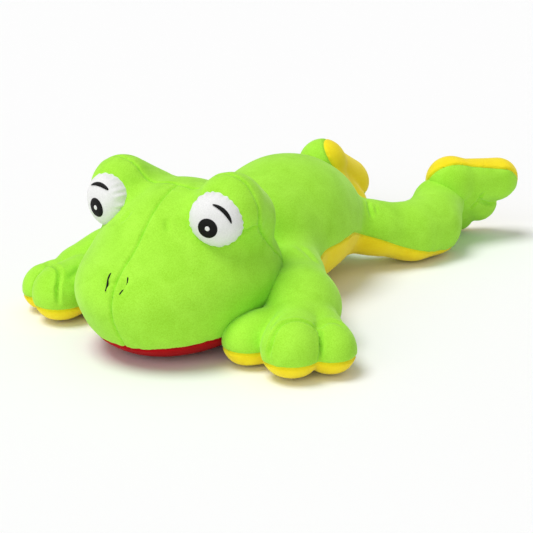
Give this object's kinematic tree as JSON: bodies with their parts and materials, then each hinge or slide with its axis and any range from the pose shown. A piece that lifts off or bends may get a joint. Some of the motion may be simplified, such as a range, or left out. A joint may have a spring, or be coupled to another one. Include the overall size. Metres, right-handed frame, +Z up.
{
  "type": "plush frog",
  "caption": "Stuffed velour frog lying on its belly, with a seamed head, gathered eyes, three-toed hands and turned-up hind feet that swing at their seams.",
  "frame": {"origin": "middle of the flat belly where it lies on the floor, on the frog's middle plane", "axes": "+Z up, the head looks along -Y, the frog's left side is +X"},
  "size_m": [0.3388, 0.5402, 0.1527],
  "materials": {
    "green velour": "short soft pile",
    "yellow velour": "short soft pile",
    "red velour": "short soft pile",
    "white velour": "short soft pile",
    "black embroidery": "satin stitch",
    "fibre filling": "loose polyester fibre"
  },
  "bodies": {
    "torso": {"torso_back": "green velour", "torso_belly": "yellow velour", "torso_filling": "fibre filling"},
    "head": {"head_filling": "fibre filling", "face_left": "green velour", "face_right": "green velour", "head_back": "green velour", "mouth_lining": "red velour", "throat": "green velour", "eye_left": "white velour", "pupil_left": "black embroidery", "glint_left": "white velour", "lash_left": "black embroidery", "eye_right": "white velour", "pupil_right": "black embroidery", "glint_right": "white velour", "lash_right": "black embroidery"},
    "arm_left": {"arm_filling_left": "fibre filling", "arm_left_upper": "green velour", "arm_left_under": "yellow velour"},
    "arm_right": {"arm_filling_right": "fibre filling", "arm_right_upper": "green velour", "arm_right_under": "yellow velour"},
    "leg_left": {"leg_filling_left": "fibre filling", "leg_left_upper": "green velour", "leg_left_under": "yellow velour"},
    "leg_right": {"leg_filling_right": "fibre filling", "leg_right_upper": "green velour", "leg_right_under": "yellow velour"},
    "foot_left": {"foot_left_top": "green velour", "foot_left_sole": "yellow velour"},
    "foot_right": {"foot_right_top": "green velour", "foot_right_sole": "yellow velour"}
  },
  "joints": [
    {"name": "neck", "type": "hinge", "parent": "torso", "child": "head", "pos_m": [0, -0.116, 0.062], "axis": [-1, 0, 0], "range_deg": [0, 12]},
    {"name": "shoulder_left", "type": "hinge", "parent": "torso", "child": "arm_left", "pos_m": [0.05, -0.095, 0.044], "axis": [0, 0, 1], "range_deg": [0, 25]},
    {"name": "shoulder_right", "type": "hinge", "parent": "torso", "child": "arm_right", "pos_m": [-0.05, -0.095, 0.044], "axis": [0, 0, -1], "range_deg": [0, 25]},
    {"name": "hip_left", "type": "hinge", "parent": "torso", "child": "leg_left", "pos_m": [0.038, 0.042, 0.038], "axis": [0, 0, -1], "range_deg": [-8, 20]},
    {"name": "hip_right", "type": "hinge", "parent": "torso", "child": "leg_right", "pos_m": [-0.038, 0.042, 0.038], "axis": [0, 0, 1], "range_deg": [-8, 20]},
    {"name": "ankle_left", "type": "hinge", "parent": "leg_left", "child": "foot_left", "pos_m": [0.0629, 0.162, 0.046], "axis": [0, 0, 1], "range_deg": [-15, 15]},
    {"name": "ankle_right", "type": "hinge", "parent": "leg_right", "child": "foot_right", "pos_m": [-0.08534, 0.15504, 0.046], "axis": [0, 0, -1], "range_deg": [-15, 15]}
  ]
}
